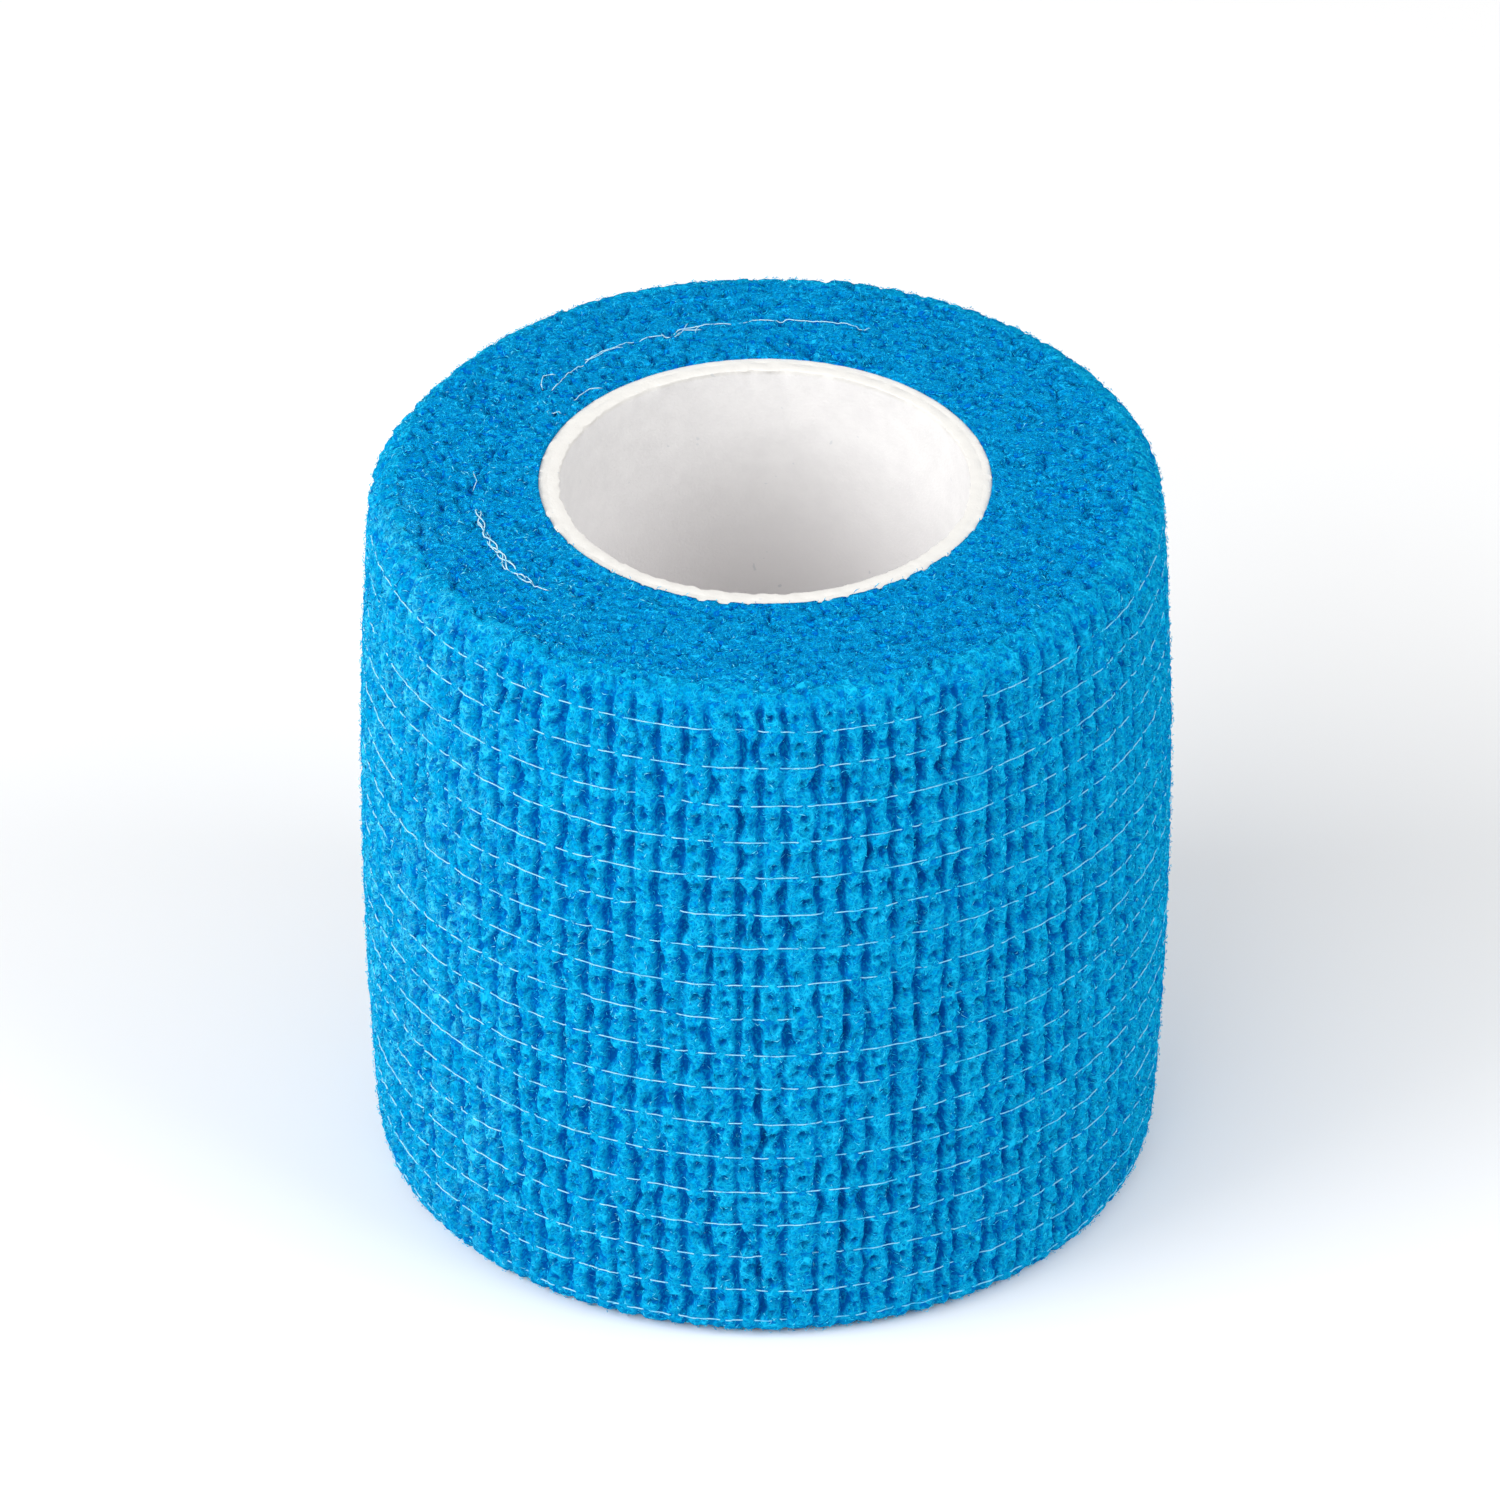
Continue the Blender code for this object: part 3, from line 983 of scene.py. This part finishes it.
def add_fibres(name, arc, rng, bluer, material):
    """Fibres on the cloth. The higher bluer is, the fewer of them are nearly white."""
    lines, outward = fibre_lines_on(arc, rng)
    radii = rng.uniform(*FIBRE_RADII, len(lines))
    points, faces, each = tubes(lines, outward, radii)
    tone = rng.beta(TONE_WHITER, bluer, len(lines))
    azimuth = np.arctan2(lines[:, 0, 1], lines[:, 0, 0])
    # Painted sheen: the fibres are whiter towards the same lit side.
    tone = tone + PAINTED_SHEEN_SHARE * smooth(np.cos(azimuth - PAINTED_SHEEN_AZIMUTH))
    tone = np.repeat(np.clip(tone, 0, 1), each)
    add_piece(name, points, faces, material, "crepe_bandage", tone=tone)


def add_side_fibres(material):
    rng = np.random.default_rng(SIDE_FIBRE_SEED)
    arc = rng.uniform(-EDGE_MIDDLE, EDGE_MIDDLE, SIDE_FIBRES)
    add_fibres("side_fibres", arc, rng, TONE_BLUER_ON_SIDE, material)


def add_face_fibres(material):
    rng = np.random.default_rng(FACE_FIBRE_SEED)
    end = rng.choice((-1, 1), FACE_FIBRES)
    arc = end * rng.uniform(EDGE_MIDDLE, HALF_PROFILE, FACE_FIBRES)
    add_fibres("face_fibres", arc, rng, TONE_BLUER_ON_FACE, material)


# Core: the paperboard tube. Its wall looks wider and its top rim lower than the solid's.
CORE_WALL = 1.35 * MM
CORE_SINK = 0.38 * MM
CORE_SEGMENTS = 384
BORE_ROWS = 12

# Each line is (inset from the outside in mm, drop from the end in mm, how much it is cut).
RIM_PROFILE = (
    (0.00, 1.20, 0.0),
    (0.00, 0.05, 1.0),
    (0.02, 0.01, 1.0),
    (0.08, 0.00, 1.0),
    (0.50, 0.00, 1.0),
    (0.55, 0.01, 1.0),
    (0.60, 0.00, 1.0),
    (1.28, 0.00, 1.0),
    (1.33, 0.02, 1.0),
    (1.35, 0.06, 0.9),
    (1.35, 0.15, 0.5),
    (1.35, 0.40, 0.0),
    (1.35, 1.50, 0.0),
)

# The cut's inner edge is ragged and its top is nicked, and the bore is faintly uneven, each
# with (cells round the core, cells along it, seed).
RIM_RAGGEDNESS = 0.11 * MM
RAGGED_CELLS = (150, 60, 71)
FINE_RAGGED_CELLS = (330, 90, 72)
FINE_RAGGED_SHARE = 0.7
RAGGED_FROM_INSET = 0.9 * MM
NICK_CELLS = (240, 30, 74)
NICK_SHARE = 0.15
BORE_UNEVENNESS = 0.03 * MM
BORE_CELLS = (9, 6, 73)


def core_rows(half):
    """The tube's profile, from the outside over the top, down the bore and round the foot.

    Each row is (inset, height over the middle, how much it is cut).
    """
    end = [(inset * MM, half - drop * MM, cut) for inset, drop, cut in RIM_PROFILE]
    foot = [(inset, -rise, cut) for inset, rise, cut in reversed(end)]
    top = [(inset, rise - CORE_SINK, cut) for inset, rise, cut in end]
    bore = np.linspace(top[-1][1], foot[0][1], BORE_ROWS + 2)[1:-1]
    return top + [(CORE_WALL, rise, 0.0) for rise in bore] + foot


def add_core(material):
    """The tube, with a slightly ragged cut rim at both ends, and a faintly uneven bore."""
    turn = np.arange(CORE_SEGMENTS) / CORE_SEGMENTS
    azimuth = 2 * math.pi * turn
    middle, half = (core_low[2] + core_high[2]) / 2, (core_high[2] - core_low[2]) / 2
    rows = core_rows(half)
    points, rim = [], []
    for number, (inset, rise, cut) in enumerate(rows):
        level = np.full(CORE_SEGMENTS, (rise + half) / (2 * half))
        ragged = wander(turn, level, *RAGGED_CELLS)
        ragged = ragged + FINE_RAGGED_SHARE * wander(turn, level, *FINE_RAGGED_CELLS)
        radius = CORE_RADIUS - inset
        radius = radius + RIM_RAGGEDNESS * cut * ragged * (inset > RAGGED_FROM_INSET)
        uneven = BORE_UNEVENNESS * wander(turn, level, *BORE_CELLS)
        radius = radius + uneven * (inset / CORE_WALL)
        nick = wander(turn, np.full(CORE_SEGMENTS, number / len(rows)), *NICK_CELLS)
        height = middle + rise + NICK_SHARE * RIM_RAGGEDNESS * cut * nick
        points.append(np.stack([radius * np.cos(azimuth), radius * np.sin(azimuth), height], 1))
        rim.append(np.full(CORE_SEGMENTS, min(cut * 2, 1.0)))
    this = np.arange(CORE_SEGMENTS)
    beside = (this + 1) % CORE_SEGMENTS
    last = (len(rows) - 1) * CORE_SEGMENTS
    outside = np.stack([last + this, this, beside, last + beside], axis=1)
    faces = np.concatenate([grid_faces(len(rows), CORE_SEGMENTS, closed=True), outside])
    piece = add_piece(
        "core_paperboard",
        np.concatenate(points),
        faces[:, ::-1],
        material,
        "paperboard",
        rim=np.concatenate(rim),
    )
    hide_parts("core_tube")


# Camera and light.
ROLL_MIDDLE = Vector((0, 0, WIDTH / 2))
PHOTO_SIZE = 1500
FOCAL_PIXELS = 14354
ROLL_CENTRE_PIXEL = (765, 800)
CAMERA_DISTANCE = 0.937
CAMERA_ELEVATION = math.radians(34.27)
SENSOR_WIDTH = 36.0
NEAREST_SEEN = 0.01
FURTHEST_SEEN = 10.0


def add_camera():
    """The camera at the photo's angle, aimed so that the roll's middle falls on its pixel."""
    data = bpy.data.cameras.new("camera")
    data.sensor_width = SENSOR_WIDTH
    data.lens = FOCAL_PIXELS / PHOTO_SIZE * SENSOR_WIDTH
    data.clip_start = NEAREST_SEEN
    data.clip_end = FURTHEST_SEEN
    camera = add_object("camera", data)
    back = Vector((0, -math.cos(CAMERA_ELEVATION), math.sin(CAMERA_ELEVATION)))
    upward = Vector((0, math.sin(CAMERA_ELEVATION), math.cos(CAMERA_ELEVATION)))
    per_pixel = CAMERA_DISTANCE / FOCAL_PIXELS
    right = (PHOTO_SIZE / 2 - ROLL_CENTRE_PIXEL[0]) * per_pixel
    rise = (ROLL_CENTRE_PIXEL[1] - PHOTO_SIZE / 2) * per_pixel
    camera.location = ROLL_MIDDLE + back * CAMERA_DISTANCE
    target = ROLL_MIDDLE + Vector((right, 0, 0)) + upward * rise
    camera.rotation_euler = (target - camera.location).to_track_quat("-Z", "Y").to_euler()
    bpy.context.scene.camera = camera


# Soft boxes: (name, azimuth, elevation, distance, width, power).
SOFT_BOXES = (
    ("key_left", 205, 32, 0.60, 0.40, 2.9),
    ("fill_right", 335, 36, 0.80, 0.50, 3.3),
    ("front", 245, 28, 0.70, 0.40, 1.4),
)
WORLD_STRENGTH = 0.55


def add_light():
    for name, azimuth, elevation, distance, width, power in SOFT_BOXES:
        data = bpy.data.lights.new(name, "AREA")
        data.shape = "SQUARE"
        data.size = width
        data.energy = power
        light = add_object(name, data)
        a, e = math.radians(azimuth), math.radians(elevation)
        away = Vector((math.cos(a) * math.cos(e), math.sin(a) * math.cos(e), math.sin(e)))
        light.location = ROLL_MIDDLE + away * distance
        light.rotation_euler = (-away).to_track_quat("-Z", "Y").to_euler()
    world = bpy.data.worlds.new("studio")
    world.use_nodes = True
    background = world.node_tree.nodes["Background"]
    background.inputs["Color"].default_value = (1, 1, 1, 1)
    background.inputs["Strength"].default_value = WORLD_STRENGTH
    bpy.context.scene.world = world
    bpy.context.scene.view_settings.view_transform = "Standard"


FLOOR_HALF = 2.0


def add_floor():
    corners = [(-1, -1), (1, -1), (1, 1), (-1, 1)]
    points = [(x * FLOOR_HALF, y * FLOOR_HALF, 0) for x, y in corners]
    mesh = bpy.data.meshes.new("floor")
    mesh.from_pydata(points, [], [(0, 1, 2, 3)])
    shader = Shader("pale_floor")
    shader.set(Base_Color=FLOOR_GREY, Roughness=0.9)
    mesh.materials.append(shader.material)
    floor = add_object("floor", mesh)


def add_cloth():
    """The crepe's side and both end faces."""
    crepe = crepe_material(
        "crepe_bandage_fibres", fineness=1.0, tint=SIDE_TINT, pore_shade=0.4, bump=0.07 * MM
    )
    felt = crepe_material(
        "crepe_bandage_ends", fineness=1.3, tint=FACE_TINT, pore_shade=0.1, bump=0.12 * MM
    )
    grid, crest, rib = side_grid()
    add_side(grid, crest, crepe)
    add_end_face("end_face_top", grid[-1], crest[-1], rib[-1], 1, felt)
    add_end_face("end_face_foot", grid[0], crest[0], rib[0], -1, felt)


def main():
    add_camera()
    add_cloth()
    add_threads(thread_material("elastic_thread", THREAD_WHITE, clinging=0.6, bluer=0.4))
    add_loose_elastic(thread_material("loose_elastic", LOOSE_WHITE, clinging=0.35, bluer=0.1))
    fibres = fibre_material()
    add_side_fibres(fibres)
    add_face_fibres(fibres)
    add_core(paper_material())
    add_light()
    add_floor()


main()
